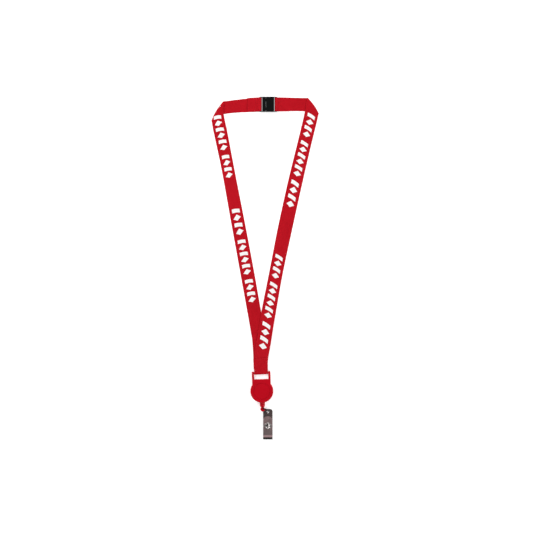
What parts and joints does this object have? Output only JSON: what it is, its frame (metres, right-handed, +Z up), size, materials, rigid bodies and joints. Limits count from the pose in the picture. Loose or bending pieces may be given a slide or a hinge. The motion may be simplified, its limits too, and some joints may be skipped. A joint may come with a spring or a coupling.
{
  "type": "neck lanyard with badge reel",
  "caption": "Flat red neck lanyard with a breakaway buckle, a sewn slot loop and a retractable badge reel ending in a snap strap.",
  "frame": {"origin": "on the table, under the middle of the outline of the lanyard laid flat", "axes": "+X to the right as it lies, +Y from the snap strap up to the buckle, +Z up from the table"},
  "size_m": [0.15, 0.4791, 0.0105],
  "materials": {
    "webbing": "woven polyester",
    "thread": "sewing thread",
    "black_plastic": "satin",
    "red_plastic": "glossy moulded",
    "white_plastic": "moulded",
    "cord": "braided nylon",
    "spring_steel": "bright",
    "dark_metal": "black nickel",
    "vinyl": "clear smoked vinyl",
    "snap_metal": "polished"
  },
  "bodies": {
    "webbing": {"strap_right": "webbing", "strap_right_top": "webbing", "strap_left_end": "webbing", "slot_loop": "webbing", "join_stitching": "thread", "right_end_stitching": "thread", "buckle_socket": "black_plastic"},
    "left_half": {"strap_left": "webbing", "strap_left_top": "webbing", "left_end_stitching": "thread", "buckle_plug": "black_plastic"},
    "reel": {"reel_rear_shell": "red_plastic", "reel_front_shell": "red_plastic", "front_disc": "red_plastic", "exit_bush": "white_plastic", "centre_pin": "spring_steel", "cord_lead": "cord"},
    "spool_wheel": {"spool": "white_plastic", "cord_coil": "cord", "mainspring": "spring_steel"},
    "cord_end": {"cord_run": "cord", "cord_knot": "cord"},
    "end_fitting": {"cord_end_fitting": "red_plastic"},
    "ring": {"link_ring": "dark_metal"},
    "snap_strap": {"clip_back_strap": "vinyl", "clip_fold": "vinyl", "snap_post": "snap_metal", "snap_stud": "snap_metal"},
    "flap": {"clip_front_flap": "vinyl", "snap_cap": "snap_metal", "snap_socket": "snap_metal"}
  },
  "joints": [
    {"name": "buckle_release", "type": "slide", "parent": "webbing", "child": "left_half", "axis": [-1, 0, 0], "range_m": [0, 0.03]},
    {"name": "reel_swing", "type": "hinge", "parent": "webbing", "child": "reel", "pos_m": [-0.00594, -0.14672, 0.00183], "axis": [0.9991, 0.0419, 0], "range_deg": [-100, 100]},
    {"name": "cord_pull", "type": "slide", "parent": "reel", "child": "cord_end", "axis": [0.0419, -0.9991, 0], "range_m": [0, 0.6], "stiffness_N_per_m": 0.5, "springref_m": -0.1},
    {"name": "spool_spin", "type": "hinge", "parent": "reel", "child": "spool_wheel", "pos_m": [-0.0049, -0.1715, 0.00525], "axis": [0, 0, 1], "range_deg": [0, 3700], "deforming": ["mainspring"]},
    {"name": "cord_swivel", "type": "hinge", "parent": "cord_end", "child": "end_fitting", "pos_m": [-0.00383, -0.19708, 0.00525], "axis": [-0.0419, 0.9991, 0], "range_deg": [-90, 90]},
    {"name": "ring_swing", "type": "hinge", "parent": "end_fitting", "child": "ring", "pos_m": [-0.00383, -0.19708, 0.00525], "axis": [0.4804, 0.4744, 0.7377], "range_deg": [-8, 30]},
    {"name": "strap_swing", "type": "hinge", "parent": "ring", "child": "snap_strap", "pos_m": [0.0035, -0.2009, 0.00294], "axis": [0, -0.0706, 0.9975], "range_deg": [-20, 45]},
    {"name": "flap_open", "type": "hinge", "parent": "snap_strap", "child": "flap", "pos_m": [0.0035, -0.23789, 0.00152], "axis": [1, 0, 0], "range_deg": [0, 150], "deforming": ["clip_fold"]}
  ],
  "couplings": [
    {"joint": "spool_spin", "follows": "cord_pull", "rad_per_m": 106.38}
  ]
}
